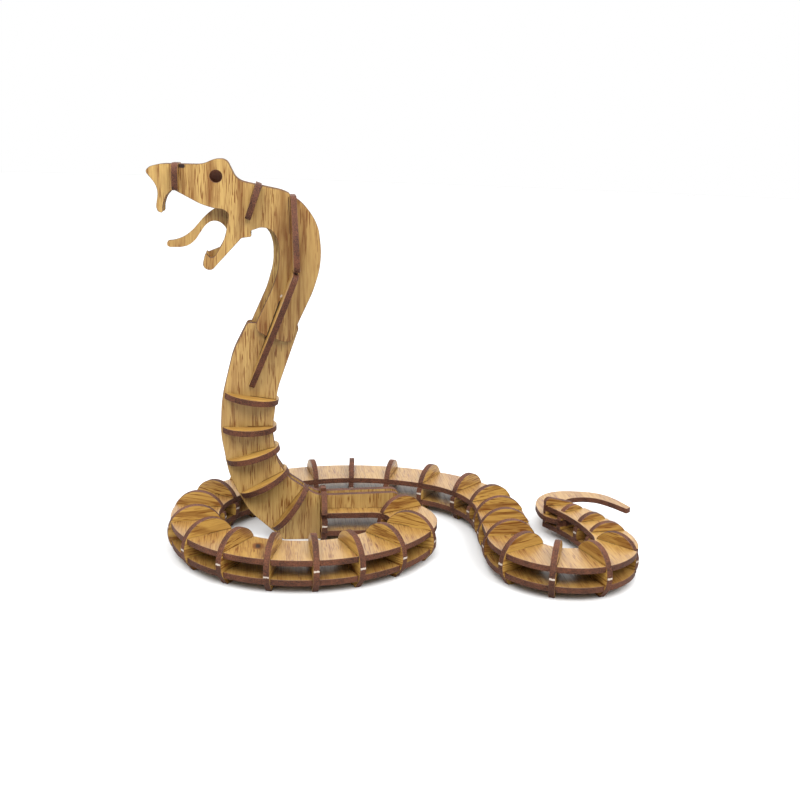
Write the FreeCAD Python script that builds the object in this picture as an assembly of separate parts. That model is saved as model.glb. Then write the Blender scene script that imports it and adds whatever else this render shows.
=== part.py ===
import FreeCAD, Part
import math
import os

from FreeCAD import Matrix, Placement, Vector

# A rearing cobra built as a slot-together puzzle from flat wooden board.
# Two flat decks, one above the other, follow the coiled body; upright ribs are pushed
# into both from the outside of every bend. At the inner end of the coil two upright neck
# plates carry tilted rings; above them sit two head plates with a core plate between,
# whose front is the tongue. Short boards cross the head plates as snout, cheek and hood.
#
# Datum: x = 0 at the inner end of the decks, y = 0 in the middle plane of the neck,
# z = 0 on the table. The last step moves the whole toy so that the origin is under
# the centre of its bounding box. All sizes are in millimetres.

# board and fits
BOARD = 3.0            # thickness of every board
SLOT_PLAY = 0.1        # how much wider a slot is than the board in it
FACE_PLAY = 0.05       # gap between two boards that lie face to face

# body of the coil
DECK_WIDTH = 25.0
FOOT_HEIGHT = 4.5      # underside of the lower deck above the table
DECK_GAP = 7.0         # clear height between the two decks
RIB_RADIUS = 14.4      # round upper half of a full-size rib
RIB_SHOULDER = 12.7    # half width of a full-size rib level with the lower deck
RIB_FOOT = 9.2         # half width of its flat foot
RIB_SILL = 1.4         # least height of a rib under the lower deck
TAIL_SCALE = 0.60      # size of the last rib against a full-size one

# Middle line of the body, from the neck to the tail: (turn, radius, angle or length).
# A turn of 0 is straight, -1 bends to the right and 1 to the left.
BODY_PATH = (
    (0, 0.0, 27.0),
    (-1, 21.0, 121.0),
    (-1, 64.0, 77.0),
    (-1, 53.0, 114.0),
    (-1, 97.0, 80.0),
    (-1, 57.0, 62.5),
    (0, 0.0, 42.0),
    (1, 26.0, 78.5),
    (1, 27.0, 108.5),
    (1, 100.0, 28.5),
)
# Ribs in order: distance along the path from the neck.
RIB_AT = (
    45.5, 72.1, 94.9, 115.5, 134.3, 153.8, 173.7, 194.6, 215.2, 237.2, 257.2, 279.1,
    301.0, 323.4, 347.1, 371.0, 394.7, 420.9, 443.3, 462.2, 480.5, 497.6, 515.8, 534.8,
    554.1, 577.8, 596.0, 612.2, 629.2,
)
ROOT_RIB_STEP = 9.8    # from the last body rib to the tail root rib
LAST_LEFT_RIB = 19     # ribs up to this one come from the left of the path, then the right
# Ribs that stand turned from the path's normal: number, degrees.
RIB_TURNS = {
    1: -12.0, 14: -6.0, 15: -4.0, 16: -4.0, 17: -4.0, 18: 8.0, 19: 8.0, 20: 7.0,
    21: 4.0, 22: 10.0, 23: 3.0, 25: -3.0, 26: -28.0, 28: 3.0,
}
TAPER_LENGTH = 96.0    # stretch before the tail root over which the body narrows

# tail
ROOT_RIB_TURN = -24.0  # how far the tail root rib stands turned from the path's normal
ROOT_RIB_LEFT = 11.6   # its top corners above the middle of the decks
ROOT_RIB_RIGHT = 7.3
ROOT_RIB_CORNER = 2.5
# Tail tip board in plan: (along, left, corner radius), where along runs with the body's
# middle line at the tail root rib.
TAIL_TIP = (
    (-11.4, 6.4, 1.5), (-5.0, 9.6, 18.0), (0.6, 10.6, 9.0), (7.4, 8.0, 25.0),
    (17.4, 0.6, 28.0), (24.6, -9.6, 26.0), (27.2, -20.5, 19.0), (24.6, -30.4, 21.0),
    (14.6, -42.0, 23.0), (5.9, -46.4, 16.0), (-4.0, -45.6, 40.0), (-17.4, -41.9, 1.2),
    (-17.8, -37.6, 0.8), (-6.0, -38.5, 40.0), (3.6, -37.4, 12.0), (9.6, -32.2, 14.0),
    (12.9, -24.4, 14.0), (11.6, -16.0, 14.0), (4.0, -6.8, 12.0), (-11.4, -4.7, 1.5),
)

# neck
NECK_GAP = 4.0         # clear distance between the two neck plates
NECK_BASE_RADIUS = 17.0
NECK_BASE_NOTCH = 5.0  # how far the neck plates sink into the neck base rib
TAB_START = 16.0       # tab that holds a neck plate in the upper deck
TAB_LENGTH = 10.0
# Neck plate outline in its own plane: (x, z, corner radius). The step under x = 0
# takes the ends of the decks.
NECK_FRONT = (
    (-19.5, 0.0, 1.0), (-38.2, 16.6, 30.0), (-48.4, 36.2, 45.0), (-52.9, 60.0, 50.0),
    (-52.2, 78.0, 50.0), (-46.4, 103.0, 40.0), (-38.9, 118.4, 2.0),
)
NECK_BACK = (
    (-11.8, 118.8, 3.0), (-23.4, 84.0, 50.0), (-26.0, 61.5, 24.0), (-23.6, 44.8, 12.0),
    (-17.0, 35.0, 14.0), (-2.0, 25.0, 12.0), (43.2, 26.2, 4.5),
)
# Neck rings: middle (x, z), tilt in degrees and radius. The disc stands a little
# proud of the plates at the back of the neck.
NECK_RINGS = (
    (-37.5, 78.4, -8.2, 14.5),
    (-38.6, 62.0, 0.8, 14.5),
    (-36.6, 47.4, 15.0, 14.6),
    (-30.6, 31.7, 27.6, 14.4),
    (-16.9, 17.0, 53.0, 14.9),
)
RING_PROUD = 0.4
RING_SLOT_REACH = 24.0

# head
EYE = (-54.0, 191.0)
EYE_RADIUS = 3.0
HEAD_OUTLINE = (
    (-87.8, 192.5, 1.6), (-85.7, 194.8, 4.6), (-80.5, 196.3, 18.0), (-60.8, 196.5, 14.0),
    (-54.5, 199.4, 8.9), (-50.5, 199.5, 3.8), (-48.4, 198.3, 3.6), (-44.8, 191.3, 6.2),
    (-42.7, 189.5, 6.2), (-39.9, 188.6, 18.0), (-22.0, 185.3, 20.0), (-17.9, 183.7, 15.0),
    (-11.2, 178.9, 18.0), (-8.0, 175.2, 30.0), (-5.4, 171.2, 22.0), (-3.4, 166.3, 17.0),
    (-2.0, 155.6, 40.0), (-2.7, 146.3, 40.0), (-5.9, 135.3, 60.0), (-13.7, 118.1, 39.0),
    (-15.6, 110.6, 2.0), (-17.2, 109.6, 4.8), (-19.4, 109.1, 4.4), (-22.4, 109.8, 34.0),
    (-29.6, 112.1, 18.0), (-33.3, 114.2, 4.0), (-34.5, 116.1, 4.1), (-34.7, 118.3, 3.8),
    (-25.5, 138.8, 54.0), (-23.0, 148.5, 30.0), (-23.2, 157.7, 12.0), (-24.2, 161.3, 15.0),
    (-25.6, 164.2, 5.6), (-27.6, 165.9, 5.8), (-29.9, 166.7, 7.2), (-32.6, 166.8, 6.0),
    (-36.6, 165.3, 1.6), (-37.2, 164.7, 0.5), (-36.6, 162.2, 1.0), (-41.8, 161.4, 2.0),
    (-42.9, 160.1, 50.0), (-56.0, 145.5, 2.3), (-57.8, 145.2, 3.2), (-59.6, 145.8, 2.5),
    (-60.7, 147.4, 2.4), (-60.6, 149.3, 8.0), (-59.4, 154.0, 0.6), (-57.3, 151.5, 1.4),
    (-55.7, 151.5, 1.6), (-54.6, 152.5, 4.0), (-51.0, 158.6, 20.0), (-49.5, 163.1, 25.0),
    (-48.1, 171.7, 8.0), (-48.1, 173.2, 1.3), (-50.5, 175.2, 4.4), (-55.1, 175.6, 20.0),
    (-61.2, 177.3, 28.0), (-74.3, 184.0, 1.6), (-75.8, 183.4, 3.0), (-78.3, 180.7, 7.5),
    (-79.6, 176.7, 9.5), (-79.7, 173.4, 0.8), (-80.3, 172.8, 0.5), (-82.0, 173.3, 1.5),
    (-82.9, 175.6, 4.0), (-81.5, 184.7, 9.5),
)
# Core plate: tongue, then round the inside of the head, down the throat, back up
# round the lower jaw.
CORE_OUTLINE = (
    (-78.6, 157.4, 1.7), (-78.0, 158.9, 1.1), (-74.4, 159.3, 13.0), (-70.0, 161.0, 14.0),
    (-66.1, 164.1, 24.0), (-60.6, 170.6, 39.0), (-57.2, 173.8, 15.0), (-54.2, 175.6, 0.6),
    (-72.0, 186.6, 2.0), (-76.5, 186.6, 1.0), (-76.5, 193.6, 1.5), (-60.0, 193.6, 6.0),
    (-53.6, 196.6, 4.0), (-49.8, 196.4, 2.8), (-45.6, 186.2, 6.0), (-27.0, 183.0, 12.0),
    (-12.4, 176.6, 16.0), (-5.4, 162.0, 34.0), (-5.4, 140.0, 46.0), (-24.0, 101.0, 3.0),
    (-43.6, 102.0, 3.0), (-37.2, 118.0, 60.0), (-29.0, 136.8, 40.0), (-25.7, 149.0, 30.0),
    (-25.9, 158.4, 16.0), (-27.6, 164.2, 9.0), (-31.0, 167.6, 3.8), (-38.4, 165.9, 1.0),
    (-43.0, 163.0, 2.0), (-57.8, 147.0, 1.0), (-60.0, 148.8, 0.6), (-59.4, 153.3, 0.2),
    (-59.0, 154.2, 0.1), (-58.3, 153.7, 0.3), (-51.6, 156.5, 3.4), (-49.0, 159.8, 3.0),
    (-48.7, 164.4, 5.2), (-50.6, 167.4, 6.6), (-53.4, 169.1, 5.3), (-56.6, 169.1, 4.7),
    (-59.6, 167.0, 9.0), (-64.4, 159.7, 9.0), (-67.4, 156.9, 8.2), (-71.2, 155.7, 13.0),
    (-77.2, 155.6, 2.0), (-78.4, 156.3, 1.0),
)
# Boards that cross the head: lower end (x, z), upper end (x, z), outline as
# (half width, share of the length, corner radius) from the lower end to the upper.
SNOUT = ((-73.4, 183.8), (-73.4, 196.9))
SNOUT_SIDE = ((14.0, 0.0, 3.0), (14.0, 1.0, 5.0))
CHEEK = ((-38.8, 170.9), (-33.1, 188.2))
CHEEK_SIDE = ((15.0, 0.0, 4.0), (17.5, 0.55, 14.0), (13.0, 1.0, 4.0))
HOOD_HIGH = ((-14.8, 146.4), (-16.4, 182.8))
HOOD_HIGH_SIDE = ((27.0, 0.0, 4.0), (26.0, 0.35, 30.0), (12.0, 1.0, 4.0))
HOOD_LOW = ((-37.0, 85.3), (-15.1, 145.4))
HOOD_LOW_SIDE = ((9.5, 0.0, 3.0), (26.0, 0.72, 45.0), (27.0, 1.0, 4.0))
HOOD_LOW_HEAD_LAP = 15.2   # overlap of the lower hood with the head plates, from its top
HOOD_LOW_NECK_LAP = 19.8   # and with the neck plates, from its bottom

# levels that follow
LOWER_Z = FOOT_HEIGHT
UPPER_Z = FOOT_HEIGHT + BOARD + DECK_GAP
DECK_TOP = UPPER_Z + BOARD
RIB_Z = LOWER_Z + BOARD + DECK_GAP / 2
TAIL_TIP_Z = RIB_Z - BOARD / 2
SLOT = BOARD + SLOT_PLAY
NECK_Y = (NECK_GAP + BOARD) / 2
HEAD_Y = NECK_Y + BOARD + FACE_PLAY
FAR = 60.0             # longer than any slot needs to be, for cutting through an edge


# outlines
def rounded_wire(points, lift):
    """Closed wire through (a, b, radius) corners; lift(a, b) gives the 3-D point."""
    count = len(points)
    cuts = []
    for i in range(count):
        a, b, radius = points[i]
        before = points[i - 1]
        after = points[(i + 1) % count]
        into = Vector(a - before[0], b - before[1], 0).normalize()
        out = Vector(after[0] - a, after[1] - b, 0).normalize()
        half_turn = into.getAngle(out) / 2
        corner = Vector(a, b, 0)
        reach = radius * math.tan(half_turn)
        first = corner - into * reach
        last = corner + out * reach
        bisector = (out - into).normalize()
        middle = corner + bisector * (radius / math.cos(half_turn) - radius)
        cuts.append((first, middle, last, reach))
    edges = []
    for i in range(count):
        first, middle, last, reach = cuts[i]
        following = cuts[(i + 1) % count]
        span = Vector(points[(i + 1) % count][0] - points[i][0],
                      points[(i + 1) % count][1] - points[i][1], 0).Length
        if reach + following[3] > span + 1e-6:
            raise ValueError("corner radii too large near point %d: %s" % (i, points[i]))
        if reach > 1e-6:
            edges.append(Part.Arc(lift(first.x, first.y), lift(middle.x, middle.y),
                                  lift(last.x, last.y)).toShape())
        if span - reach - following[3] > 1e-6:
            edges.append(Part.LineSegment(lift(last.x, last.y),
                                          lift(following[0].x, following[0].y)).toShape())
    return Part.Wire(Part.__sortEdges__(edges))


def upright_board(points, y_middle):
    """Board standing in a plane parallel to the neck, from an (x, z, radius) outline."""
    base = y_middle - BOARD / 2
    wire = rounded_wire(points, lambda x, z: Vector(x, base, z))
    return Part.Face(wire).extrude(Vector(0, BOARD, 0))


def flat_board(points, z_bottom):
    """Board lying flat, from an (x, y, radius) outline."""
    wire = rounded_wire(points, lambda x, y: Vector(x, y, z_bottom))
    return Part.Face(wire).extrude(Vector(0, 0, BOARD))


def block(x0, x1, y0, y1, z0, z1):
    return Part.makeBox(x1 - x0, y1 - y0, z1 - z0, Vector(x0, y0, z0))


# body path
def path_pieces():
    """The path cut into pieces: (start distance, end distance, turn, radius, x, y, heading)."""
    pieces = []
    x, y, heading, travelled = 0.0, 0.0, 0.0, 0.0
    for turn, radius, amount in BODY_PATH:
        if turn == 0:
            length = amount
        else:
            length = radius * math.radians(amount)
        pieces.append((travelled, travelled + length, turn, radius, x, y, heading))
        x, y, heading = along_piece(pieces[-1], travelled + length)
        travelled += length
    return pieces


def along_piece(piece, distance):
    start, _, turn, radius, x, y, heading = piece
    gone = distance - start
    if turn == 0:
        return x + gone * math.cos(heading), y + gone * math.sin(heading), heading
    now = heading + turn * gone / radius
    x += turn * radius * (math.sin(now) - math.sin(heading))
    y -= turn * radius * (math.cos(now) - math.cos(heading))
    return x, y, now


PATH = path_pieces()


def on_path(distance):
    """Point and heading of the body's middle line at a distance from the neck."""
    for piece in PATH:
        if distance <= piece[1]:
            return along_piece(piece, distance)
    return along_piece(PATH[-1], distance)


ROOT_RIB_AT = RIB_AT[-1] + ROOT_RIB_STEP
# The decks are drawn past the turned root rib and trimmed flush with its outer face.
DECK_END = ROOT_RIB_AT + BOARD / 2 + DECK_WIDTH * TAIL_SCALE / 2 * math.tan(
    math.radians(abs(ROOT_RIB_TURN)))
TAPER_START = DECK_END - TAPER_LENGTH


def body_scale(distance):
    """Size of the body's cross-section: 1 along the coil, smaller along the tail."""
    if distance <= TAPER_START:
        return 1.0
    return 1.0 - (1.0 - TAIL_SCALE) * (distance - TAPER_START) / TAPER_LENGTH


def beside_path(distance, side, z):
    """Point on the deck's edge, left of the path for side 1 and right for side -1."""
    x, y, heading = on_path(distance)
    offset = side * DECK_WIDTH / 2 * body_scale(distance)
    return Vector(x - offset * math.sin(heading), y + offset * math.cos(heading), z)


def deck_edge(side, z):
    """One long edge of a deck: arcs and lines beside the coil, a curve along the taper."""
    edges = []
    for start, end, turn, _, _, _, _ in PATH:
        end = min(end, TAPER_START)
        if end <= start:
            break
        a = beside_path(start, side, z)
        b = beside_path(end, side, z)
        if turn == 0:
            edges.append(Part.LineSegment(a, b).toShape())
        else:
            edges.append(Part.Arc(a, beside_path((start + end) / 2, side, z), b).toShape())
    steps = 8
    points = [beside_path(TAPER_START + (DECK_END - TAPER_START) * i / steps, side, z)
              for i in range(steps + 1)]
    curve = Part.BSplineCurve()
    curve.interpolate(points)
    edges.append(curve.toShape())
    return edges


def deck_blank(z):
    edges = deck_edge(1, z) + deck_edge(-1, z)
    edges.append(Part.LineSegment(beside_path(0, 1, z), beside_path(0, -1, z)).toShape())
    edges.append(Part.LineSegment(beside_path(DECK_END, 1, z),
                                  beside_path(DECK_END, -1, z)).toShape())
    wire = Part.Wire(Part.__sortEdges__(edges))
    return Part.Face(wire).extrude(Vector(0, 0, BOARD))


def place_on_path(shape, distance, turn=0.0):
    """Moves a shape drawn with x along the path, y to its left and z up."""
    x, y, heading = on_path(distance)
    placed = shape.copy()
    placed.Placement = Placement(Vector(x, y, 0),
                                 FreeCAD.Rotation(Vector(0, 0, 1), math.degrees(heading) + turn))
    return placed


def deck_notch(distance, side, z, turn=0.0):
    """Cutter for the slot that a rib leaves in a board: from the edge to the middle."""
    reach = sorted((0, side * (DECK_WIDTH / 2 + 3)))
    cutter = block(-SLOT / 2, SLOT / 2, reach[0], reach[1], z - 1, z + BOARD + 1)
    return place_on_path(cutter, distance, turn)


# ribs
def shoulder_level(scale):
    return RIB_Z - (RIB_Z - LOWER_Z) * scale


def foot_level(scale):
    """Underside of a rib: a smaller rib ends higher, but never level with the lower deck."""
    return min(RIB_Z * (1 - scale), LOWER_Z - RIB_SILL)


def rib_blank(radius, scale):
    """Rib upright across the path: round above the middle, straight flanks to a flat foot."""
    shoulder = RIB_SHOULDER * scale
    shoulder_z = shoulder_level(scale)
    foot = RIB_FOOT * scale
    foot_z = foot_level(scale)
    waist = (radius + shoulder) / 2 + (radius - shoulder) * 0.25
    waist_z = (RIB_Z + shoulder_z) / 2

    def point(y, z):
        return Vector(-BOARD / 2, y, z)

    edges = [
        Part.Arc(point(radius, RIB_Z), point(0, RIB_Z + radius), point(-radius, RIB_Z)),
        Part.Arc(point(-radius, RIB_Z), point(-waist, waist_z), point(-shoulder, shoulder_z)),
        Part.LineSegment(point(-shoulder, shoulder_z), point(-foot, foot_z)),
        Part.LineSegment(point(-foot, foot_z), point(foot, foot_z)),
        Part.LineSegment(point(foot, foot_z), point(shoulder, shoulder_z)),
        Part.Arc(point(shoulder, shoulder_z), point(waist, waist_z), point(radius, RIB_Z)),
    ]
    wire = Part.Wire([edge.toShape() for edge in edges])
    return Part.Face(wire).extrude(Vector(BOARD, 0, 0))


def root_rib_blank():
    """Tail root rib: as narrow as the tail, with a straight top that falls to the right."""
    half = RIB_RADIUS * TAIL_SCALE
    foot = RIB_FOOT * TAIL_SCALE
    foot_z = foot_level(TAIL_SCALE)
    shoulder_z = shoulder_level(TAIL_SCALE)
    corners = (
        (-foot, foot_z, 0.0), (foot, foot_z, 0.0), (half, shoulder_z, 1.0),
        (half, RIB_Z + ROOT_RIB_LEFT, ROOT_RIB_CORNER),
        (-half, RIB_Z + ROOT_RIB_RIGHT, ROOT_RIB_CORNER), (-half, shoulder_z, 1.0),
    )
    wire = rounded_wire(corners, lambda y, z: Vector(-BOARD / 2, y, z))
    return Part.Face(wire).extrude(Vector(BOARD, 0, 0))


def notch_rib(blank, side, levels):
    """Cuts the slots for flat boards at the given levels, from the inner edge to the middle."""
    reach = sorted((0, -side * FAR))
    for z in levels:
        blank = blank.cut(block(-FAR, FAR, reach[0], reach[1], z, z + SLOT))
    return blank


def rib_side(number):
    if number <= LAST_LEFT_RIB:
        return 1
    return -1


# boards across the neck
def tilted(shape, x, z, tilt):
    """Places a shape drawn flat (x along the board, y across, z its normal) on the neck."""
    c = math.cos(math.radians(tilt))
    s = math.sin(math.radians(tilt))
    placed = shape.copy()
    placed.Placement = Placement(Matrix(c, 0, -s, x,
                                        0, 1, 0, 0,
                                        s, 0, c, z,
                                        0, 0, 0, 1))
    return placed


def plate_slot(along0, along1, y_middle):
    """Slot across the full thickness of a cross board, where it straddles one plate."""
    return block(along0, along1, y_middle - SLOT / 2, y_middle + SLOT / 2, -BOARD, BOARD)


def cross_slot(along0, along1):
    """Slot in an upright plate, where a cross board passes through it."""
    return block(along0, along1, -FAR, FAR, -SLOT / 2, SLOT / 2)


class CrossBoard:
    """A flat board that crosses the head, given by its lower and upper end."""

    def __init__(self, ends, side):
        (self.x, self.z), (x1, z1) = ends
        self.length = math.hypot(x1 - self.x, z1 - self.z)
        self.tilt = math.degrees(math.atan2(z1 - self.z, x1 - self.x))
        right = [(share * self.length, half, radius) for half, share, radius in side]
        left = [(along, -half, radius) for along, half, radius in reversed(right)]
        wire = rounded_wire(right + left, lambda a, b: Vector(a, b, -BOARD / 2))
        self.flat = Part.Face(wire).extrude(Vector(0, 0, BOARD))

    def notch(self, along0, along1, plates):
        for y_middle in plates:
            self.flat = self.flat.cut(plate_slot(along0, along1, y_middle))

    def placed(self):
        return tilted(self.flat, self.x, self.z, self.tilt)

    def slot_through(self, along0, along1):
        return tilted(cross_slot(along0, along1), self.x, self.z, self.tilt)


# build
def build():
    parts = {}

    # Body: decks, ribs and the tail tip between the decks.
    upper = deck_blank(UPPER_Z)
    lower = deck_blank(LOWER_Z)
    tail_tip = place_on_path(flat_board(TAIL_TIP, TAIL_TIP_Z), ROOT_RIB_AT)
    for number, distance in enumerate(RIB_AT, start=1):
        side = rib_side(number)
        scale = body_scale(distance)
        turn = RIB_TURNS.get(number, 0.0)
        levels = [LOWER_Z, UPPER_Z]
        if number == len(RIB_AT):
            levels.append(TAIL_TIP_Z)
            tail_tip = tail_tip.cut(deck_notch(distance, side, TAIL_TIP_Z, turn))
        upper = upper.cut(deck_notch(distance, side, UPPER_Z, turn))
        lower = lower.cut(deck_notch(distance, side, LOWER_Z, turn))
        rib = notch_rib(rib_blank(RIB_RADIUS * scale, scale), side, levels)
        parts["rib_%02d" % number] = place_on_path(rib, distance, turn)
    root = notch_rib(root_rib_blank(), -1, [LOWER_Z, TAIL_TIP_Z, UPPER_Z])
    parts["tail_root_rib"] = place_on_path(root, ROOT_RIB_AT, ROOT_RIB_TURN)
    beyond = block(BOARD / 2 - SLOT_PLAY, DECK_WIDTH, -DECK_WIDTH / 2, DECK_WIDTH / 2,
                   0, DECK_TOP + 1)
    beyond = place_on_path(beyond, ROOT_RIB_AT, ROOT_RIB_TURN)
    upper = upper.cut(deck_notch(ROOT_RIB_AT, -1, UPPER_Z, ROOT_RIB_TURN)).cut(beyond)
    lower = lower.cut(deck_notch(ROOT_RIB_AT, -1, LOWER_Z, ROOT_RIB_TURN)).cut(beyond)
    parts["tail_tip"] = tail_tip.cut(
        deck_notch(ROOT_RIB_AT, -1, TAIL_TIP_Z, ROOT_RIB_TURN))

    # Neck base rib: holds the inner ends of the decks and the feet of the neck plates.
    base_at = BOARD / 2
    notch_z = RIB_Z + NECK_BASE_RADIUS - NECK_BASE_NOTCH
    base = notch_rib(rib_blank(NECK_BASE_RADIUS, 1.0), 1, [LOWER_Z, UPPER_Z])
    for y_middle in (-NECK_Y, NECK_Y):
        base = base.cut(block(-FAR, FAR, y_middle - SLOT / 2, y_middle + SLOT / 2,
                              notch_z, notch_z + FAR))
    parts["neck_base_rib"] = place_on_path(base, base_at)
    upper = upper.cut(deck_notch(base_at, 1, UPPER_Z))
    lower = lower.cut(deck_notch(base_at, 1, LOWER_Z))

    # Neck plates: one outline, with a step on the deck and a tab through it.
    tab_end = TAB_START + TAB_LENGTH
    neck_outline = NECK_FRONT + NECK_BACK + (
        (NECK_BACK[-1][0], DECK_TOP, 1.0), (tab_end, DECK_TOP, 0.0),
        (tab_end, UPPER_Z, 0.0), (TAB_START, UPPER_Z, 0.0), (TAB_START, DECK_TOP, 0.0),
        (-SLOT_PLAY, DECK_TOP, 0.0), (-SLOT_PLAY, 0.0, 0.0),
    )
    base_slot = block(base_at - SLOT / 2, base_at + SLOT / 2, -FAR, FAR, 0, notch_z)
    neck_cutters = [base_slot]
    for number, (x, z, tilt, radius) in enumerate(NECK_RINGS, start=1):
        ring = Part.makeCylinder(radius, BOARD, Vector(RING_PROUD, 0, -BOARD / 2))
        for y_middle in (-NECK_Y, NECK_Y):
            ring = ring.cut(plate_slot(-FAR, 0, y_middle))
        parts["neck_ring_%d" % number] = tilted(ring, x, z, tilt)
        neck_cutters.append(tilted(cross_slot(0, RING_SLOT_REACH), x, z, tilt))

    # Boards across the head, and the slots that they leave in the plates.
    snout = CrossBoard(SNOUT, SNOUT_SIDE)
    cheek = CrossBoard(CHEEK, CHEEK_SIDE)
    hood_high = CrossBoard(HOOD_HIGH, HOOD_HIGH_SIDE)
    hood_low = CrossBoard(HOOD_LOW, HOOD_LOW_SIDE)
    head_plates = (-HEAD_Y, 0.0, HEAD_Y)
    head_cutters = []
    for board in (snout, cheek, hood_high):
        half = board.length / 2
        board.notch(-1, half, head_plates)
        head_cutters.append(board.slot_through(half, board.length + 12))
    head_lap = hood_low.length - HOOD_LOW_HEAD_LAP
    hood_low.notch(head_lap, FAR + FAR, head_plates)
    head_cutters.append(hood_low.slot_through(-8, head_lap))
    hood_low.notch(-1, HOOD_LOW_NECK_LAP, (-NECK_Y, NECK_Y))
    neck_cutters.append(hood_low.slot_through(HOOD_LOW_NECK_LAP, hood_low.length))
    parts["snout_rib"] = snout.placed()
    parts["cheek_rib"] = cheek.placed()
    parts["hood_upper"] = hood_high.placed()
    parts["hood_lower"] = hood_low.placed()

    for name, y_middle in (("neck_plate_left", -NECK_Y), ("neck_plate_right", NECK_Y)):
        plate = upright_board(neck_outline, y_middle)
        for cutter in neck_cutters:
            plate = plate.cut(cutter)
        parts[name] = plate
        upper = upper.cut(block(TAB_START, tab_end + SLOT_PLAY,
                                y_middle - SLOT / 2, y_middle + SLOT / 2,
                                UPPER_Z - 1, DECK_TOP + 1))
    parts["upper_deck"] = upper
    parts["lower_deck"] = lower

    for name, y_middle in (("head_plate_left", -HEAD_Y), ("head_plate_right", HEAD_Y)):
        plate = upright_board(HEAD_OUTLINE, y_middle)
        eye = Part.makeCylinder(EYE_RADIUS, BOARD + 2,
                                Vector(EYE[0], y_middle - BOARD / 2 - 1, EYE[1]),
                                Vector(0, 1, 0))
        plate = plate.cut(eye)
        for cutter in head_cutters:
            plate = plate.cut(cutter)
        parts[name] = plate
    core = upright_board(CORE_OUTLINE, 0.0)
    for cutter in head_cutters:
        core = core.cut(cutter)
    parts["tongue_core"] = core
    return parts


def export(parts):
    """Moves the origin under the middle of the toy's bounding box and writes every node."""
    whole = FreeCAD.BoundBox()
    for shape in parts.values():
        whole.add(shape.optimalBoundingBox(False, False))
    shift = Vector(-whole.Center.x, -whole.Center.y, -whole.ZMin)
    os.makedirs("parts", exist_ok=True)
    for name in sorted(parts):
        shape = parts[name].copy()
        shape.translate(shift)
        solids = shape.Solids
        if len(solids) != 1:
            raise ValueError("%s came out as %d solids" % (name, len(solids)))
        solids[0].exportStep("parts/%s.step" % name)
    print("size %.1f x %.1f x %.1f" % (whole.XLength, whole.YLength, whole.ZLength))
    print("shift %.2f %.2f %.2f" % (shift.x, shift.y, shift.z))
    print("nodes %d" % len(parts))


export(build())
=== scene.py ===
import math

import bmesh
import bpy
import numpy as np
from bpy.props import FloatProperty, FloatVectorProperty, PointerProperty
from mathutils import Matrix, Vector


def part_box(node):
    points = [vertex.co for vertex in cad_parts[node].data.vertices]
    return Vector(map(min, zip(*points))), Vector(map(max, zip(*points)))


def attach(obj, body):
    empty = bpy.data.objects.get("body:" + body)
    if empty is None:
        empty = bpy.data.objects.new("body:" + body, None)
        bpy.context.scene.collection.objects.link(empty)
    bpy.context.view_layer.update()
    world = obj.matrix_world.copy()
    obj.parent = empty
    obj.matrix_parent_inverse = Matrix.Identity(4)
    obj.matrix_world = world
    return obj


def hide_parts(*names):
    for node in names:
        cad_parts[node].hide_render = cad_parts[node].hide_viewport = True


bl_info = {
    "name": "Slotted wooden cobra",
    "version": (1, 0, 0),
    "blender": (4, 5, 0),
    "location": "3D View > Sidebar > Cobra",
    "description": "Finishes the boards of a slot-together wooden cobra and sets its stage",
    "category": "Object",
}

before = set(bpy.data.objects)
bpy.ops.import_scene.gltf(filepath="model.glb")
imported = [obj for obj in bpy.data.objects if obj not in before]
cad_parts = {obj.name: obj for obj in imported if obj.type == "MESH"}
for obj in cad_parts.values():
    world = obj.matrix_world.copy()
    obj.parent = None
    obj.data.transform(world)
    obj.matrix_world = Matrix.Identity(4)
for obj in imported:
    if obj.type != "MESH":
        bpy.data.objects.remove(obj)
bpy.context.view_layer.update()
MM = 0.001
BODY = "root"
IMAGE_SIDE = 800               # pixels of the finished picture, both ways

STAGE_LIGHT = 2.4              # light on an open face, where 1 shows white paper as white

# Material index of each kind of surface on a board.
FACE = 0
EDGE = 1
RIM = 2

# A surface is a face or a rim by the cosine between its normal and the board's.
FACE_COSINE = 0.95
RIM_COSINE = 0.35

MERGE = 1e-6                   # metres: points closer than this are joined
FLAT_ANGLE = math.radians(0.4)       # surfaces that meet below this angle are one
SMOOTH_ANGLE = math.radians(35.0)    # cut edges are shaded smooth across smaller angles

DECKS = ("upper_deck", "lower_deck", "tail_tip")
RIBS = (*("rib_%02d" % number for number in range(1, 30)), "tail_root_rib", "neck_base_rib")
NECK_PLATES = ("neck_plate_left", "neck_plate_right")
NECK_RINGS = tuple("neck_ring_%d" % number for number in range(1, 6))
HEAD_PLATES = ("head_plate_left", "head_plate_right", "tongue_core")
CROSS_BOARDS = ("snout_rib", "cheek_rib", "hood_upper", "hood_lower")

# First number of each kind of board. A board's number moves its grain, so that no two
# boards show the same figure.
DECK_NUMBER = 0
RIB_NUMBER = 5
NECK_NUMBER = 40
RING_NUMBER = 44
HEAD_NUMBER = 50
CROSS_NUMBER = 60
GRAIN_STEP = (0.113, 0.0719)   # metres along and across the grain, from number to number

# Directions of the grain.
UPRIGHT = (0.0, 0.0, 1.0)
SIDEWAYS = (1.0, 0.0, 0.0)
BACKWARD = (0.0, 1.0, 0.0)

# Strength of the rings, bands, fibres and pores of each veneer.
DECK_GRAIN = (0.15, 0.3, 0.4, 0.9)
RIB_GRAIN = (0.45, 0.35, 0.3, 0.9)
NECK_GRAIN = (0.15, 0.35, 0.3, 0.9)
RING_GRAIN = (0.25, 0.3, 0.3, 0.8)
HEAD_GRAIN = (0.15, 0.65, 0.35, 1.0)
CROSS_GRAIN = (0.3, 0.4, 0.3, 0.8)
DECK_GLOSS = 0.6
BOARD_GLOSS = 0.3

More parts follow.
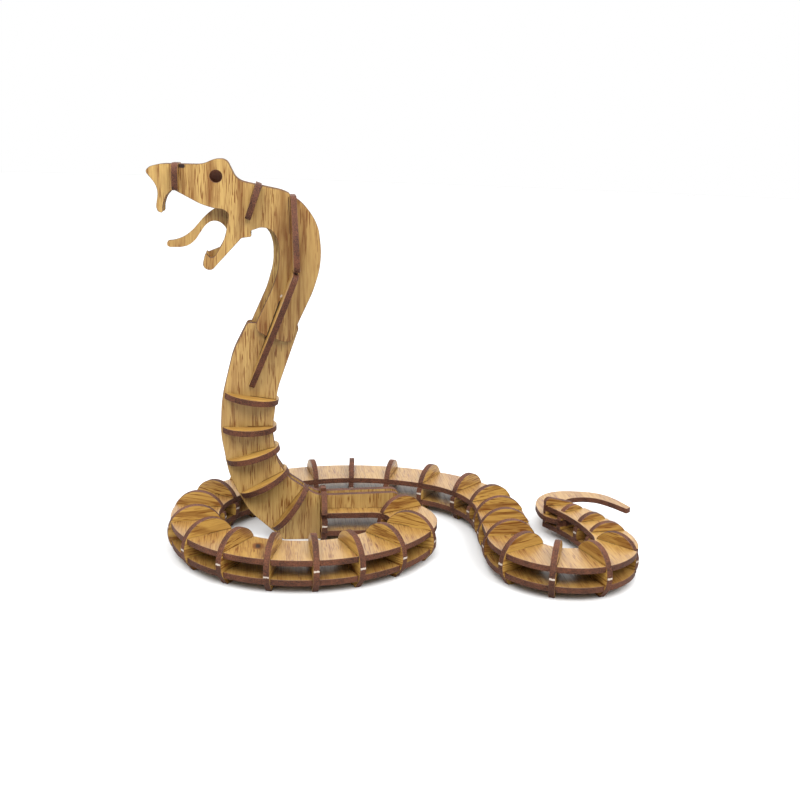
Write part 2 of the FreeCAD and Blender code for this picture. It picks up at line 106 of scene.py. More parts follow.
# Cells of noise per metre, along the grain and across it.
RING_CELLS = (9.0, 70.0, 1.0)
BAND_CELLS = (14.0, 210.0, 1.0)
FIBRE_CELLS = (60.0, 1500.0, 1.0)
PORE_CELLS = (110.0, 1700.0, 1.0)
PATCH_CELLS = (26.0, 130.0, 1.0)
TONE_CELLS = (5.0, 12.0, 1.0)
RING_ANGLE = 62.0              # radians of rings over the whole range of the noise

# Cells of noise per metre in all three directions.
SPECK_CELLS = (2100.0,) * 3
SPECK_TONE_CELLS = (90.0,) * 3
SCORCH_CELLS = (300.0,) * 3
NIB_CELLS = (1300.0,) * 3
WORN_CELLS = (420.0,) * 3

# Marks on single boards, as two points in millimetres: (x, y) on a level board and
# (x, z) on an upright plate.
KNOT = ((-78.8, -47.6), (-78.8, -45.0))
# Painted shade: dark lines beside the upper and lower hood boards stand for the shaded gaps
# where their slots are wider than the boards.
UPPER_SLIT_SHADE = ((-64.0, 182.0), (-63.1, 164.2))
LOWER_SLIT_SHADE = ((-68.1, 129.8), (-77.8, 102.0))
# Painted light: a pale spot by the lower slit stands for light shining through the gap, in
# the nib colour.
PINHOLE_LIGHT = ((-67.4, 132.5), (-67.0, 133.1))
# Dark patch on the head plate beside the top of the snout rib.
SNOUT_DARK_PATCH = ((-116.6, 195.6), (-115.0, 195.4))
# Painted shade: a brown disc on the core plate at the bottom of the eye hole, where the hole
# lies in shadow.
EYE_SHADE = ((-99.3, 191.0), (-99.2, 191.0))
TAIL_NIB = (100.8, 13.8)       # one point: its line runs through the board's thickness
NIB_HEIGHT = 11.6 * MM         # above the table, on ribs that RIB_NIBS doesn't name
NIB_SIZE = 0.9 * MM            # about how high a nib is
RIB_NIBS = {"rib_05": 12.5 * MM, "rib_06": 9.1 * MM, "rib_09": 14.4 * MM}
FINE_CORNERS = {"tongue_core": 0.2}    # share of the scorch width that small corners take
FINE_MERGE = 0.04 * MM         # points of such corners closer than this are joined
CORNER_PROFILE = 0.92          # 0.5 rounds a corner fully, 1.0 leaves it sharp

SENSOR_WIDTH = 36.0            # millimetres
KEY_LIGHTS = (("key left", (-0.5, -1.0, 1.3)), ("key right", (0.7, -1.0, 1.3)))
KEY_TARGET = (0.0, 0.0, 0.09)
KEY_WIDTH = 0.9
FLOOR_RINGS = (0.02, 0.1, 0.4, 1.5)    # radii inside the floor's own
FLOOR_SIDES = 96


def paint(red, green, blue, light=STAGE_LIGHT):
    """Surface colour that shows as this 8-bit screen colour under the stage's light."""
    def linear(value):
        value = value / 255.0
        if value <= 0.04045:
            return value / 12.92
        return ((value + 0.055) / 1.055) ** 2.4
    return linear(red) / light, linear(green) / light, linear(blue) / light


# settings

def colour(name, description, default):
    return FloatVectorProperty(name=name, description=description, default=default, size=3,
                               min=0.0, max=1.0, subtype="COLOR")


def length(name, description, default):
    return FloatProperty(name=name, description=description, default=default, min=0.0,
                         unit="LENGTH", subtype="DISTANCE", precision=5)


def share(name, description, default):
    return FloatProperty(name=name, description=description, default=default, min=0.0,
                         max=1.0, subtype="FACTOR")


def angle(name, description, default):
    return FloatProperty(name=name, description=description, default=math.radians(default),
                         unit="ROTATION", subtype="ANGLE")


class CobraBoardSettings(bpy.types.PropertyGroup):
    """Colours of the wood and the size of the worn corners."""

    deck_light: colour("Deck light", "Pale wood of the two decks and the tail",
                       paint(218, 171, 92))
    deck_dark: colour("Deck grain", "Grain lines of the two decks and the tail",
                      paint(148, 92, 38))
    rib_light: colour("Rib light", "Pale wood of the ribs", paint(252, 200, 104))
    rib_dark: colour("Rib grain", "Grain lines of the ribs", paint(150, 90, 34))
    plate_light: colour("Plate light", "Pale wood of the neck and head plates",
                        paint(246, 203, 123))
    plate_dark: colour("Plate grain", "Grain lines of the neck and head plates",
                       paint(158, 101, 44))
    cut_light: colour("Cut light", "Paler specks of a toasted cut edge", paint(150, 92, 64))
    cut_dark: colour("Cut dark", "Darkest specks of a toasted cut edge", paint(56, 34, 25))
    scorch_colour: colour("Scorch", "Wood browned by the cut", paint(104, 66, 36))
    nib_colour: colour("Nib", "Bare wood torn where a board was held in its sheet",
                       paint(250, 232, 214))
    scorch_width: length("Scorch width", "Browned strip beside each cut, a third of which "
                         "is the worn corner", 0.27 * MM)


class CobraStageSettings(bpy.types.PropertyGroup):
    """Camera, floor and lights."""

    camera_x: FloatProperty(name="Camera X", description="Camera position along X",
                            default=-0.07944, unit="LENGTH")
    camera_y: FloatProperty(name="Camera Y", description="Camera position along Y",
                            default=-0.50477, unit="LENGTH")
    camera_z: FloatProperty(name="Camera height", description="Camera above the table",
                            default=0.2059, unit="LENGTH")
    heading: angle("Heading", "How far the camera looks to the right of +Y", 8.2)
    pitch: angle("Pitch", "How far the camera looks down", 13.89)
    roll: angle("Roll", "How far the picture leans clockwise", 2.0)
    lens: FloatProperty(name="Lens", description="Focal length on a 36 mm sensor",
                        default=45.0, min=10.0)
    centre_x: FloatProperty(name="Centre X", description="Picture column of the lens axis",
                            default=396.6)
    centre_y: FloatProperty(name="Centre Y", description="Picture row of the lens axis",
                            default=398.5)
    floor_radius: length("Floor radius", "Radius of the pale floor", 6.0)
    floor_tone: share("Floor tone", "Share of the light that the floor sends back", 0.57)
    overhead: FloatProperty(name="Overhead", description="Brightness of the light tent above",
                            default=2.4, min=0.0)
    backdrop: FloatProperty(name="Backdrop", description="Brightness of the paper behind",
                            default=1.3, min=0.0)
    room: FloatProperty(name="Room", description="Brightness low down on the camera's side",
                        default=0.06, min=0.0)
    key_power: FloatProperty(name="Key light", description="Power of each large soft light",
                             default=19.0, min=0.0, unit="POWER")


# shader building

class Tree:
    """Adds nodes to a node tree and links them."""

    def __init__(self, tree):
        self.tree = tree
        self.column = 0

    def add(self, kind, inputs=None, **settings):
        node = self.tree.nodes.new(kind)
        node.location = (self.column * 180, 0)
        self.column += 1
        for key, value in settings.items():
            setattr(node, key, value)
        for key, value in (inputs or {}).items():
            socket = node.inputs[key]
            if isinstance(value, bpy.types.NodeSocket):
                self.tree.links.new(value, socket)
            else:
                socket.default_value = value
        return node

    def math(self, operation, a, b=0.0, c=0.0, clamp=False):
        node = self.add("ShaderNodeMath", {0: a, 1: b, 2: c}, operation=operation,
                        use_clamp=clamp)
        return node.outputs[0]

    def vector(self, operation, first, second):
        return self.add("ShaderNodeVectorMath", {0: first, 1: second},
                        operation=operation).outputs[0]

    def dot(self, first, second):
        return self.add("ShaderNodeVectorMath", {0: first, 1: second},
                        operation="DOT_PRODUCT").outputs["Value"]

    def noise(self, vector, scale, detail=2.0, roughness=0.5, distortion=0.0):
        """Noise from 0 to 1 whose cells are 1/scale long in each direction."""
        node = self.add("ShaderNodeTexNoise",
                        {"Vector": self.vector("MULTIPLY", vector, scale), "Scale": 1.0,
                         "Detail": detail, "Roughness": roughness,
                         "Distortion": distortion})
        return node.outputs["Fac"]

    def ramp(self, value, low, high, to_low=0.0, to_high=1.0):
        """Smooth step of a value from low to high."""
        node = self.add("ShaderNodeMapRange", {0: value, 1: low, 2: high, 3: to_low,
                                               4: to_high},
                        interpolation_type="SMOOTHSTEP")
        return node.outputs[0]

    def blend(self, factor, first, second):
        node = self.add("ShaderNodeMix", data_type="RGBA")
        for name, value in (("Factor_Float", factor), ("A_Color", first),
                            ("B_Color", second)):
            socket = next(s for s in node.inputs if s.identifier == name)
            if isinstance(value, bpy.types.NodeSocket):
                self.tree.links.new(value, socket)
            elif name == "Factor_Float":
                socket.default_value = value
            else:
                socket.default_value = (*value[:3], 1.0)
        return next(s for s in node.outputs if s.identifier == "Result_Color")


def new_group(name, inputs, outputs):
    """Node group with the given sockets: (name, kind, default) and (name, kind)."""
    group = bpy.data.node_groups.new(name, "ShaderNodeTree")
    for socket_name, kind, default in inputs:
        socket = group.interface.new_socket(socket_name, in_out="INPUT", socket_type=kind)
        if default is not None:
            socket.default_value = default
    for socket_name, kind in outputs:
        group.interface.new_socket(socket_name, in_out="OUTPUT", socket_type=kind)
    tree = Tree(group)
    return group, tree, tree.add("NodeGroupInput"), tree.add("NodeGroupOutput")


FLOAT = "NodeSocketFloat"
COLOUR = "NodeSocketColor"
VECTOR = "NodeSocketVector"


def veneer_group():
    """Wood seen on a broad face. The first coordinate of Grain runs along the grain, in
    metres. Growth rings are level lines of a stretched noise; over them lie broad bands,
    fine fibres and short dark pores, all stretched along the grain, and a slow change of
    tone."""
    name = "Veneer grain"
    if name in bpy.data.node_groups:
        return bpy.data.node_groups[name]
    group, tree, given, result = new_group(
        name,
        (("Grain", VECTOR, None), ("Light", COLOUR, None), ("Dark", COLOUR, None),
         ("Rings", FLOAT, 0.5), ("Bands", FLOAT, 0.5), ("Fibres", FLOAT, 0.5),
         ("Pores", FLOAT, 0.5)),
        (("Color", COLOUR), ("Roughness", FLOAT), ("Height", FLOAT)))
    grain = given.outputs["Grain"]
    hills = tree.noise(grain, RING_CELLS, 1.0, 0.4)
    waves = tree.math("SINE", tree.math("MULTIPLY", hills, RING_ANGLE))
    rings = tree.ramp(waves, 0.15, 1.0)
    bands = tree.ramp(tree.noise(grain, BAND_CELLS, 2.0, 0.55), 0.4, 0.7)
    fibres = tree.ramp(tree.noise(grain, FIBRE_CELLS, 3.0, 0.65), 0.4, 0.68)
    dashes = tree.ramp(tree.noise(grain, PORE_CELLS, 1.0, 0.5), 0.55, 0.63)
    patches = tree.ramp(tree.noise(grain, PATCH_CELLS, 2.0, 0.5), 0.4, 0.55)
    pores = tree.math("MULTIPLY", dashes, patches)
    tone = tree.ramp(tree.noise(grain, TONE_CELLS, 1.0, 0.5), 0.3, 0.7, -0.06, 0.16)
    total = tree.math("MULTIPLY_ADD", rings, given.outputs["Rings"], tone)
    total = tree.math("MULTIPLY_ADD", bands, given.outputs["Bands"], total)
    total = tree.math("MULTIPLY_ADD", fibres, given.outputs["Fibres"], total)
    total = tree.math("MULTIPLY_ADD", pores, given.outputs["Pores"], total, clamp=True)
    tree.tree.links.new(tree.blend(total, given.outputs["Light"], given.outputs["Dark"]),
                        result.inputs["Color"])
    rough = tree.ramp(fibres, 0.0, 1.0, 0.36, 0.5)
    tree.tree.links.new(rough, result.inputs["Roughness"])
    tree.tree.links.new(tree.math("SUBTRACT", 1.0, total), result.inputs["Height"])
    return group


def toasted_group():
    """Scorched cut edge: brown with specks about a third of a millimetre across, and slow
    changes of tone along the board."""
    name = "Toasted edge"
    if name in bpy.data.node_groups:
        return bpy.data.node_groups[name]
    group, tree, given, result = new_group(
        name,
        (("Position", VECTOR, None), ("Light", COLOUR, None), ("Dark", COLOUR, None)),
        (("Color", COLOUR), ("Height", FLOAT)))
    place = given.outputs["Position"]
    specks = tree.ramp(tree.noise(place, SPECK_CELLS, 2.0, 0.6), 0.36, 0.66)
    tone = tree.ramp(tree.noise(place, SPECK_TONE_CELLS, 2.0, 0.5), 0.3, 0.7)
    mixed = tree.math("MULTIPLY_ADD", tone, 0.35, tree.math("MULTIPLY", specks, 0.65))
    tree.tree.links.new(tree.blend(mixed, given.outputs["Dark"], given.outputs["Light"]),
                        result.inputs["Color"])
    tree.tree.links.new(specks, result.inputs["Height"])
    return group


def mark_group():
    """Mask of a mark along a straight line: 1 within Width of the line from Start to End,
    fading out over Blur. The distance is that to the nearest point of the line."""
    name = "Line mark"
    if name in bpy.data.node_groups:
        return bpy.data.node_groups[name]
    group, tree, given, result = new_group(
        name,
        (("Position", VECTOR, None), ("Start", VECTOR, None), ("End", VECTOR, None),
         ("Width", FLOAT, 0.3 * MM), ("Blur", FLOAT, 0.1 * MM)),
        (("Mask", FLOAT),))
    start = given.outputs["Start"]
    run = tree.vector("SUBTRACT", given.outputs["End"], start)
    here = tree.vector("SUBTRACT", given.outputs["Position"], start)
    share_along = tree.math("DIVIDE", tree.dot(here, run), tree.dot(run, run), clamp=True)
    nearest = tree.add("ShaderNodeVectorMath", {"Vector": run, "Scale": share_along},
                       operation="SCALE").outputs[0]
    away = tree.add("ShaderNodeVectorMath", {0: here, 1: nearest},
                    operation="DISTANCE").outputs["Value"]
    past = tree.math("SUBTRACT", away, given.outputs["Width"])
    faded = tree.math("DIVIDE", past, given.outputs["Blur"], clamp=True)
    tree.tree.links.new(tree.math("SUBTRACT", 1.0, faded), result.inputs["Mask"])
    return group


def marked(tree, place, colour_socket, marks):
    """The colour with each mark laid over it: (start, end, width, blur, colour)."""
    for start, end, width, blur, tint in marks:
        mark = tree.add("ShaderNodeGroup",
                        {"Position": place, "Start": start, "End": end, "Width": width,
                         "Blur": blur}, node_tree=mark_group())
        colour_socket = tree.blend(mark.outputs["Mask"], colour_socket, tint)
    return colour_socket


def new_material(name):
    material = bpy.data.materials.new(name)
    material.use_nodes = True
    material.node_tree.nodes.clear()
    tree = Tree(material.node_tree)
    shader = tree.add("ShaderNodeBsdfPrincipled")
    output = tree.add("ShaderNodeOutputMaterial")
    tree.tree.links.new(shader.outputs[0], output.inputs["Surface"])
    return material, tree, shader


def veneer_material(name, light, dark, amounts, marks=(), gloss=BOARD_GLOSS):
    """Satin face of a board; the grain follows the board's own UV map, in metres. The
    scorch attribute is 1 along every cut and 0 just inside it."""
    boards = bpy.context.scene.cobra_boards
    material, tree, shader = new_material(name)
    grain = tree.add("ShaderNodeUVMap", uv_map="grain").outputs["UV"]
    place = tree.add("ShaderNodeTexCoord").outputs["Object"]
    wood = tree.add("ShaderNodeGroup", node_tree=veneer_group())
    tree.tree.links.new(grain, wood.inputs["Grain"])
    rings, bands, fibres, pores = amounts
    for key, value in (("Light", (*light, 1.0)), ("Dark", (*dark, 1.0)), ("Rings", rings),
                       ("Bands", bands), ("Fibres", fibres), ("Pores", pores)):
        wood.inputs[key].default_value = value
    burnt = tree.add("ShaderNodeAttribute", attribute_name="scorch").outputs["Fac"]
    uneven = tree.ramp(tree.noise(place, SCORCH_CELLS, 2.0), 0.3, 0.7, 0.35, 1.0)
    burnt = tree.math("MULTIPLY", burnt, uneven)
    shown = tree.blend(burnt, wood.outputs["Color"], tuple(boards.scorch_colour))
    shown = marked(tree, place, shown, marks)
    tree.tree.links.new(shown, shader.inputs["Base Color"])
    tree.tree.links.new(wood.outputs["Roughness"], shader.inputs["Roughness"])
    shader.inputs["Specular IOR Level"].default_value = gloss
    shader.inputs["Coat Weight"].default_value = 0.1 * gloss
    shader.inputs["Coat Roughness"].default_value = 0.3
    bump = tree.add("ShaderNodeBump", {"Height": wood.outputs["Height"], "Strength": 0.35,
                                       "Distance": 0.05 * MM})
    tree.tree.links.new(bump.outputs[0], shader.inputs["Normal"])
    return material


def toasted_material(name, nibs=False, marks=()):
    """Cut edge of a board. With nibs, a pale torn mark lies across the edge at the height
    of the board's nib attribute, where the board was held in its sheet."""
    boards = bpy.context.scene.cobra_boards
    material, tree, shader = new_material(name)
    place = tree.add("ShaderNodeTexCoord").outputs["Object"]
    edge = tree.add("ShaderNodeGroup",
                    {"Position": place, "Light": (*boards.cut_light, 1.0),
                     "Dark": (*boards.cut_dark, 1.0)}, node_tree=toasted_group())
    final = edge.outputs["Color"]
    if nibs:
        middle = tree.add("ShaderNodeAttribute", attribute_name="nib").outputs["Fac"]
        height = tree.add("ShaderNodeSeparateXYZ", {0: place}).outputs["Z"]
        ragged = tree.math("MULTIPLY", tree.noise(place, NIB_CELLS, 2.0), NIB_SIZE)
        away = tree.math("ABSOLUTE", tree.math("SUBTRACT", height, middle))
        nib = tree.ramp(tree.math("SUBTRACT", ragged, away), -0.1 * MM, 0.1 * MM)
        final = tree.blend(nib, final, tuple(boards.nib_colour))
    final = marked(tree, place, final, marks)
    tree.tree.links.new(final, shader.inputs["Base Color"])
    shader.inputs["Roughness"].default_value = 0.7
    shader.inputs["Specular IOR Level"].default_value = 0.2
    bump = tree.add("ShaderNodeBump", {"Height": edge.outputs["Height"], "Strength": 0.5,
                                       "Distance": 0.08 * MM})
    tree.tree.links.new(bump.outputs[0], shader.inputs["Normal"])
    return material


def rim_material(name):
    """Worn corner between face and cut edge: browned wood, broken up by darker spots."""
    boards = bpy.context.scene.cobra_boards
    material, tree, shader = new_material(name)
    place = tree.add("ShaderNodeTexCoord").outputs["Object"]
    worn = tree.ramp(tree.noise(place, WORN_CELLS, 3.0, 0.6), 0.35, 0.6)
    tree.tree.links.new(tree.blend(worn, tuple(boards.cut_light),
                                   tuple(boards.scorch_colour)), shader.inputs["Base Color"])
    shader.inputs["Roughness"].default_value = 0.55
    return material


# boards

def board_normal(mesh):
    """Direction square to the board: the axis along which most of the surface faces."""
    count = len(mesh.polygons)
    normals = np.empty(count * 3)
    areas = np.empty(count)
    mesh.polygons.foreach_get("normal", normals)
    mesh.polygons.foreach_get("area", areas)
    normals = normals.reshape(-1, 3)
    values, vectors = np.linalg.eigh((normals * areas[:, None]).T @ normals)
    return vectors[:, int(np.argmax(values))]


def grain_axes(normal, wanted):
    """Unit vectors in the board's plane: along the grain, nearest to the wanted direction,
    and across it."""
    along = np.array(wanted, float)
    along -= normal * (along @ normal)
    along /= np.linalg.norm(along)
    return along, np.cross(normal, along)


def bevel_outline(solid, square, width):
    """Bevels the corner between the flat faces and the cut edge. Two thirds of the way to
    the corner the bevel lies flat, and the last third crosses it."""
    flat = {face for face in solid.faces if abs(face.normal.dot(square)) > FACE_COSINE}
    outline = [edge for edge in solid.edges
               if len(edge.link_faces) == 2
               and (edge.link_faces[0] in flat) != (edge.link_faces[1] in flat)]
    bmesh.ops.bevel(solid, geom=outline, offset=width, offset_type="OFFSET", segments=3,
                    profile=CORNER_PROFILE, affect="EDGES", clamp_overlap=False)


def sort_surfaces(solid, square):
    """Gives each surface its material and shading. The scorch attribute is 1 at each point
    that isn't inside a flat face."""
    for face in solid.faces:
        facing = abs(face.normal.dot(square))
        if facing > FACE_COSINE:
            face.material_index = FACE
        elif facing > RIM_COSINE:
            face.material_index = RIM
        else:
            face.material_index = EDGE
        face.smooth = face.material_index == EDGE
    for edge in solid.edges:
        kinds = {face.material_index for face in edge.link_faces}
        edge.smooth = kinds == {EDGE} and edge.calc_face_angle(0.0) < SMOOTH_ANGLE
    scorch = solid.verts.layers.float.new("scorch")
    for vertex in solid.verts:
        if any(face.material_index != FACE for face in vertex.link_faces):
            vertex[scorch] = 1.0


def lay_grain(mesh, normal, wanted, number):
    """UV map in metres: u is the distance along the grain and v across it, both moved by
    the board's number."""
    along, across = grain_axes(normal, wanted)
    corners = np.empty(len(mesh.loops), int)
    mesh.loops.foreach_get("vertex_index", corners)
    points = np.empty(len(mesh.vertices) * 3)
    mesh.vertices.foreach_get("co", points)
    points = points.reshape(-1, 3)[corners]
    shift = (GRAIN_STEP[0] * number, GRAIN_STEP[1] * number)
    laid = np.stack([points @ along + shift[0], points @ across + shift[1]], axis=1)
    mesh.uv_layers.new(name="grain").data.foreach_set("uv", laid.ravel())


def finished_board(node, wanted_grain, materials, number, nib=NIB_HEIGHT):
    """Bevelled copy of a board that replaces its node. The faces keep the grain, the
    outline gets the toasted edge, and the nib attribute holds the height of its nib."""
    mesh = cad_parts[node].data.copy()
    mesh.materials.clear()
    solid = bmesh.new()
    solid.from_mesh(mesh)
    bmesh.ops.remove_doubles(solid, verts=solid.verts,
                             dist=FINE_MERGE if node in FINE_CORNERS else MERGE)
    solid.to_mesh(mesh)
    normal = board_normal(mesh)
    square = Vector(normal)
    bmesh.ops.dissolve_limit(solid, angle_limit=FLAT_ANGLE, verts=solid.verts,
                             edges=solid.edges)
    bmesh.ops.recalc_face_normals(solid, faces=solid.faces)
    scorch_width = bpy.context.scene.cobra_boards.scorch_width
    bevel_outline(solid, square, scorch_width * FINE_CORNERS.get(node, 1.0))
    sort_surfaces(solid, square)
    bmesh.ops.triangulate(solid, faces=solid.faces, quad_method="BEAUTY",
                          ngon_method="EAR_CLIP")
    solid.to_mesh(mesh)
    solid.free()

    lay_grain(mesh, normal, wanted_grain, number)
    heights = mesh.attributes.new("nib", "FLOAT", "POINT")
    heights.data.foreach_set("value", np.full(len(mesh.vertices), nib))
    board = bpy.data.objects.new("board_" + node, mesh)
    bpy.context.scene.collection.objects.link(board)
    for material in materials:
        mesh.materials.append(material)
    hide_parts(node)
    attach(board, BODY)


def shared_rim():
    name = "browned rim"
    return bpy.data.materials.get(name) or rim_material(name)


def shared_edge():
    name = "toasted edge"
    return bpy.data.materials.get(name) or toasted_material(name)


def on_board(points, height):
    """Points of a level board, in metres: (x, y) in millimetres at the board's height."""
    return [(x * MM, y * MM, height) for x, y in points]


def on_plate(points, depth):
    """Points of an upright plate, in metres: (x, z) in millimetres at the plate's depth."""
    return [(x * MM, depth, z * MM) for x, z in points]


class COBRA_OT_decks(bpy.types.Operator):
    """Finishes the two decks and the tail tip, with the grain across the coil"""

    bl_idname = "cobra.decks"
    bl_label = "Decks and tail"

    def execute(self, context):
        boards = context.scene.cobra_boards
        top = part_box("upper_deck")[1][2]
        knot, halo = tuple(boards.cut_dark), tuple(boards.deck_dark)
        marks = ((*on_board(KNOT, top), 2.2 * MM, 1.2 * MM, halo),
                 (*on_board(KNOT, top), 0.8 * MM, 0.7 * MM, knot))
        face = veneer_material("deck veneer", tuple(boards.deck_light),
                               tuple(boards.deck_dark), DECK_GRAIN, marks, DECK_GLOSS)
        low, high = (corner[2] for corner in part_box("tail_tip"))
        nib_low, nib_high = ((TAIL_NIB[0] * MM, TAIL_NIB[1] * MM, z) for z in (low, high))
        tail_edge = toasted_material("tail edge",
                                     marks=((nib_low, nib_high, 0.35 * MM, 0.15 * MM,
                                             tuple(boards.nib_colour)),))
        for index, node in enumerate(DECKS):
            edge = tail_edge if node == "tail_tip" else shared_edge()
            finished_board(node, BACKWARD, (face, edge, shared_rim()),
                           DECK_NUMBER + index)
        return {"FINISHED"}


class COBRA_OT_ribs(bpy.types.Operator):
    """Finishes the upright ribs, with level grain and a torn nib across the cut edge"""

    bl_idname = "cobra.ribs"
    bl_label = "Ribs"

    def execute(self, context):
        boards = context.scene.cobra_boards
        face = veneer_material("rib veneer", tuple(boards.rib_light), tuple(boards.rib_dark),
                               RIB_GRAIN)
        edge = toasted_material("rib edge", nibs=True)
        for index, node in enumerate(RIBS):
            normal = board_normal(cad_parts[node].data)
            level = np.cross(UPRIGHT, normal)
            finished_board(node, level, (face, edge, shared_rim()),
                           RIB_NUMBER + index, RIB_NIBS.get(node, NIB_HEIGHT))
        return {"FINISHED"}


class COBRA_OT_neck(bpy.types.Operator):
    """Finishes the neck plates, with upright grain, and the neck rings"""

    bl_idname = "cobra.neck"
    bl_label = "Neck"

    def execute(self, context):
        boards = context.scene.cobra_boards
        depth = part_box("neck_plate_left")[0][1]
        # Painted shade of the gap beside the lower hood board, laid as a dark line.
        marks = ((*on_plate(LOWER_SLIT_SHADE, depth), 0.2 * MM, 0.15 * MM,
                  tuple(boards.cut_dark)),)
        plate = veneer_material("neck veneer", tuple(boards.plate_light),
                                tuple(boards.plate_dark), NECK_GRAIN, marks)
        ring = veneer_material("ring veneer", tuple(boards.rib_light),
                               tuple(boards.rib_dark), RING_GRAIN)
        for index, node in enumerate(NECK_PLATES):
            finished_board(node, UPRIGHT, (plate, shared_edge(), shared_rim()),
                           NECK_NUMBER + index)
        for index, node in enumerate(NECK_RINGS):
            finished_board(node, SIDEWAYS, (ring, shared_edge(), shared_rim()),
                           RING_NUMBER + index)
        return {"FINISHED"}


class COBRA_OT_head(bpy.types.Operator):
    """Finishes the two head plates and the core plate with the tongue"""

    bl_idname = "cobra.head"
    bl_label = "Head and tongue"

    def execute(self, context):
        boards = context.scene.cobra_boards
        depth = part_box("head_plate_left")[0][1]
        dark, scorch = tuple(boards.cut_dark), tuple(boards.scorch_colour)
        # The two slit lines are painted shade of the gaps beside the hood boards.
        marks = ((*on_plate(UPPER_SLIT_SHADE, depth), 0.12 * MM, 0.15 * MM, scorch),
                 (*on_plate(LOWER_SLIT_SHADE, depth), 0.25 * MM, 0.15 * MM, dark),
                 (*on_plate(SNOUT_DARK_PATCH, depth), 0.8 * MM, 0.5 * MM, dark),
                 # Painted shade inside the eye hole, in the pale speck colour of the cut
                 # edge.
                 (*on_plate(EYE_SHADE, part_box("tongue_core")[0][1]), 3.0 * MM, 0.5 * MM,
                  tuple(boards.cut_light)),
                 # Painted pinhole of light by the lower slit.
                 (*on_plate(PINHOLE_LIGHT, depth), 0.3 * MM, 0.2 * MM, tuple(boards.nib_colour)))
        face = veneer_material("head veneer", tuple(boards.plate_light),
                               tuple(boards.plate_dark), HEAD_GRAIN, marks)
        for index, node in enumerate(HEAD_PLATES):
            finished_board(node, UPRIGHT, (face, shared_edge(), shared_rim()),
                           HEAD_NUMBER + index)
        return {"FINISHED"}


class COBRA_OT_cross_boards(bpy.types.Operator):
    """Finishes the boards that cross the head: snout, cheek and the two of the hood"""

    bl_idname = "cobra.cross_boards"
    bl_label = "Snout, cheek and hood"

    def execute(self, context):
        boards = context.scene.cobra_boards
        face = veneer_material("hood veneer", tuple(boards.rib_light),
                               tuple(boards.rib_dark), CROSS_GRAIN)
        for index, node in enumerate(CROSS_BOARDS):
            finished_board(node, UPRIGHT, (face, shared_edge(), shared_rim()),
                           CROSS_NUMBER + index)
        return {"FINISHED"}


# stage

def floor_mesh(radius):
    """Flat disc on the table plane: rings of radius r and angle a, point = (r cos a,
    r sin a, 0)."""
    radii = np.array([*FLOOR_RINGS, radius])
    turns = np.linspace(0.0, 2.0 * math.pi, FLOOR_SIDES, endpoint=False)
    r, a = np.meshgrid(radii, turns, indexing="ij")
    points = np.stack([r * np.cos(a), r * np.sin(a), np.zeros_like(r)], axis=-1)
    points = np.concatenate([points.reshape(-1, 3), [[0.0, 0.0, 0.0]]])
    count = len(turns)
    here = np.arange(count)
    after = (here + 1) % count
    faces = []
    for ring in range(len(radii) - 1):
        inner = ring * count
        outer = inner + count
        faces += np.stack([inner + here, outer + here, outer + after, inner + after],
                          axis=1).tolist()
    faces += np.stack([np.full(count, len(points) - 1), here, after], axis=1).tolist()
    mesh = bpy.data.meshes.new("floor")
    mesh.from_pydata(points.tolist(), [], faces)
    return mesh


def look_at(place, target):
    """Matrix of a light at a place that shines at a target."""
    back = (Vector(place) - Vector(target)).normalized()
    side = Vector((0.0, 0.0, 1.0)).cross(back).normalized()
    rise = back.cross(side)
    matrix = Matrix((side, rise, back)).transposed().to_4x4()
    matrix.translation = place
    return matrix


def soft_light(name, place, target, width, power):
    light = bpy.data.lights.new(name, "AREA")
    light.shape = "DISK"
    light.size = width
    light.energy = power
    lamp = bpy.data.objects.new(name, light)
    lamp.matrix_world = look_at(place, target)
    bpy.context.scene.collection.objects.link(lamp)


def light_tent(stage):
    """World of a light tent. Towards +Y stands a white backdrop; on the camera's side the
    light comes from above and the room is dark low down. What is seen directly is white."""
    world = bpy.data.worlds.new("light tent")
    world.use_nodes = True
    world.node_tree.nodes.clear()
    tree = Tree(world.node_tree)
    way = tree.add("ShaderNodeTexCoord").outputs["Generated"]
    parts = tree.add("ShaderNodeSeparateXYZ", {0: way})
    behind = tree.ramp(parts.outputs["Y"], -0.1, 0.35)
    above = tree.ramp(parts.outputs["Z"], 0.25, 0.65)
    low = tree.math("MULTIPLY_ADD", behind, stage.backdrop - stage.room, stage.room)
    lift = tree.math("MULTIPLY", above, tree.math("SUBTRACT", stage.overhead, low))
    tent = tree.math("ADD", low, lift)
    seen = tree.add("ShaderNodeLightPath").outputs["Is Camera Ray"]
    unseen = tree.math("SUBTRACT", 1.0, seen)
    strength = tree.math("MULTIPLY_ADD", tent, unseen, seen)
    background = tree.add("ShaderNodeBackground", {"Color": (1.0, 1.0, 1.0, 1.0),
                                                   "Strength": strength})
    output = tree.add("ShaderNodeOutputWorld")
    tree.tree.links.new(background.outputs[0], output.inputs["Surface"])
    return world


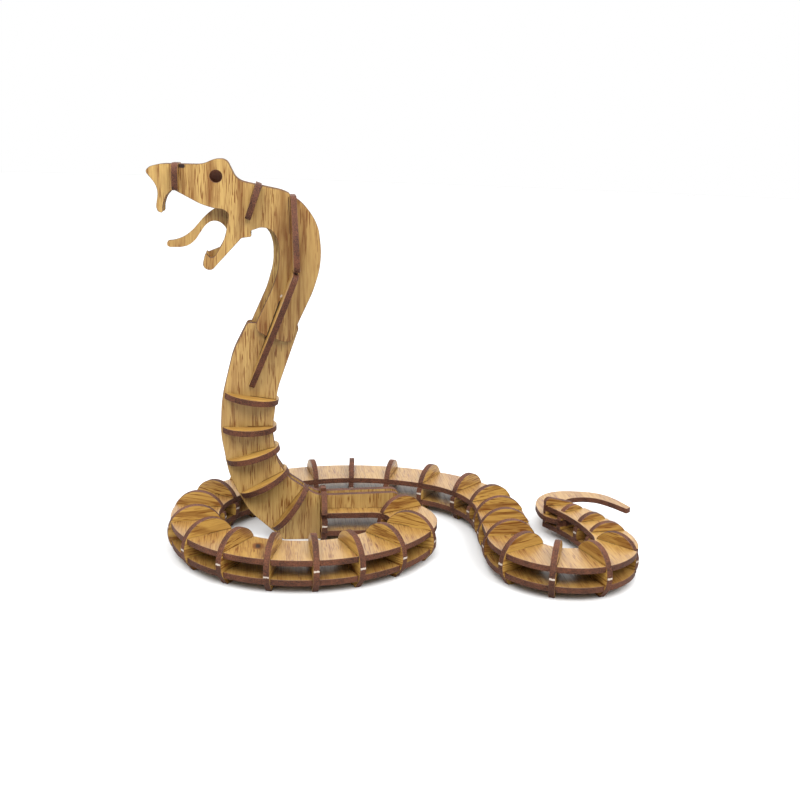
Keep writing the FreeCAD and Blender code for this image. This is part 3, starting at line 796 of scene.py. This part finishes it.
class COBRA_OT_stage(bpy.types.Operator):
    """Sets the pale floor, the white surround, the soft light and the camera"""

    bl_idname = "cobra.stage"
    bl_label = "Stage"

    def execute(self, context):
        stage = context.scene.cobra_stage
        floor = bpy.data.objects.new("floor", floor_mesh(stage.floor_radius))
        context.scene.collection.objects.link(floor)
        material, _, shader = new_material("pale floor")
        shader.inputs["Base Color"].default_value = (*(stage.floor_tone,) * 3, 1.0)
        shader.inputs["Roughness"].default_value = 0.9
        shader.inputs["Specular IOR Level"].default_value = 0.1
        floor.data.materials.append(material)
        context.scene.world = light_tent(stage)
        context.scene.view_settings.view_transform = "Standard"
        for name, place in KEY_LIGHTS:
            soft_light(name, place, KEY_TARGET, KEY_WIDTH, stage.key_power)

        camera = bpy.data.cameras.new("camera")
        camera.lens = stage.lens
        camera.sensor_width = SENSOR_WIDTH
        camera.dof.use_dof = False
        camera.shift_x = (IMAGE_SIDE / 2 - stage.centre_x) / IMAGE_SIDE
        camera.shift_y = (stage.centre_y - IMAGE_SIDE / 2) / IMAGE_SIDE
        camera.clip_start = 0.01
        camera.clip_end = 50.0
        viewer = bpy.data.objects.new("camera", camera)
        context.scene.collection.objects.link(viewer)
        heading, pitch, roll = stage.heading, stage.pitch, stage.roll
        forward = Vector((math.sin(heading) * math.cos(pitch),
                          math.cos(heading) * math.cos(pitch), -math.sin(pitch)))
        level = Vector((math.cos(heading), -math.sin(heading), 0.0))
        rise = level.cross(forward)
        right = level * math.cos(roll) + rise * math.sin(roll)
        up = rise * math.cos(roll) - level * math.sin(roll)
        matrix = Matrix((right, up, -forward)).transposed().to_4x4()
        matrix.translation = (stage.camera_x, stage.camera_y, stage.camera_z)
        viewer.matrix_world = matrix
        context.scene.camera = viewer
        return {"FINISHED"}


class COBRA_PT_panel(bpy.types.Panel):
    """Sizes, colours and steps of the cobra"""

    bl_label = "Slotted wooden cobra"
    bl_idname = "COBRA_PT_panel"
    bl_space_type = "VIEW_3D"
    bl_region_type = "UI"
    bl_category = "Cobra"

    def draw(self, context):
        layout = self.layout
        for group in (context.scene.cobra_boards, context.scene.cobra_stage):
            box = layout.box()
            for key in group.__annotations__:
                box.prop(group, key)
        for operator in OPERATORS:
            layout.operator(operator.bl_idname)


SETTINGS = (CobraBoardSettings, CobraStageSettings)
OPERATORS = (COBRA_OT_decks, COBRA_OT_ribs, COBRA_OT_neck, COBRA_OT_head,
             COBRA_OT_cross_boards, COBRA_OT_stage)


def register():
    for item in SETTINGS + OPERATORS + (COBRA_PT_panel,):
        bpy.utils.register_class(item)
    bpy.types.Scene.cobra_boards = PointerProperty(type=CobraBoardSettings)
    bpy.types.Scene.cobra_stage = PointerProperty(type=CobraStageSettings)


def unregister():
    del bpy.types.Scene.cobra_stage
    del bpy.types.Scene.cobra_boards
    for item in reversed(SETTINGS + OPERATORS + (COBRA_PT_panel,)):
        bpy.utils.unregister_class(item)


def main():
    register()
    for step in (bpy.ops.cobra.decks, bpy.ops.cobra.ribs, bpy.ops.cobra.neck,
                 bpy.ops.cobra.head, bpy.ops.cobra.cross_boards, bpy.ops.cobra.stage):
        step()


if __name__ == "__main__":
    main()
